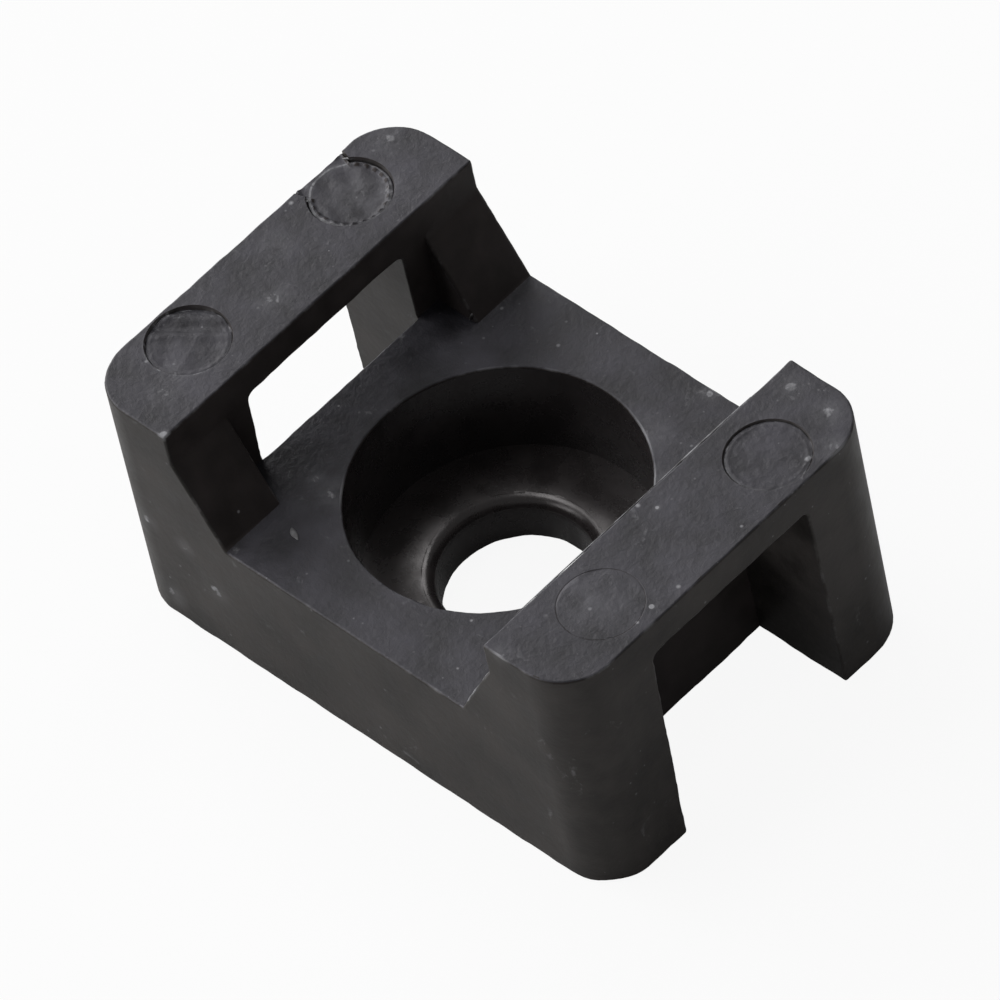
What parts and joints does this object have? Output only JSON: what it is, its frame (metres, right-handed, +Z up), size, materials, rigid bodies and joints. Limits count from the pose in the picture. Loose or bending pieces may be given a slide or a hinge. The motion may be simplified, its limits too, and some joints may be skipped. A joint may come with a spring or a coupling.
{
  "type": "cable tie mount",
  "caption": "One-piece black nylon saddle mount for cable ties: block with a deep counterbored screw hole and a bridge bar with a tie slot at each end.",
  "frame": {"origin": "on the screw hole's axis, in the bottom face", "axes": "+X from the middle of the block to one bridge bar, along the tie's run; +Y along the bars; +Z up, out of the counterbore"},
  "size_m": [0.024, 0.016, 0.0113],
  "materials": {
    "black_nylon": "black moulded nylon: fine matt grain on the top faces, smoother satin sides, glossier screw hole"
  },
  "bodies": {
    "root": {"mount_body": "black_nylon"}
  },
  "joints": []
}
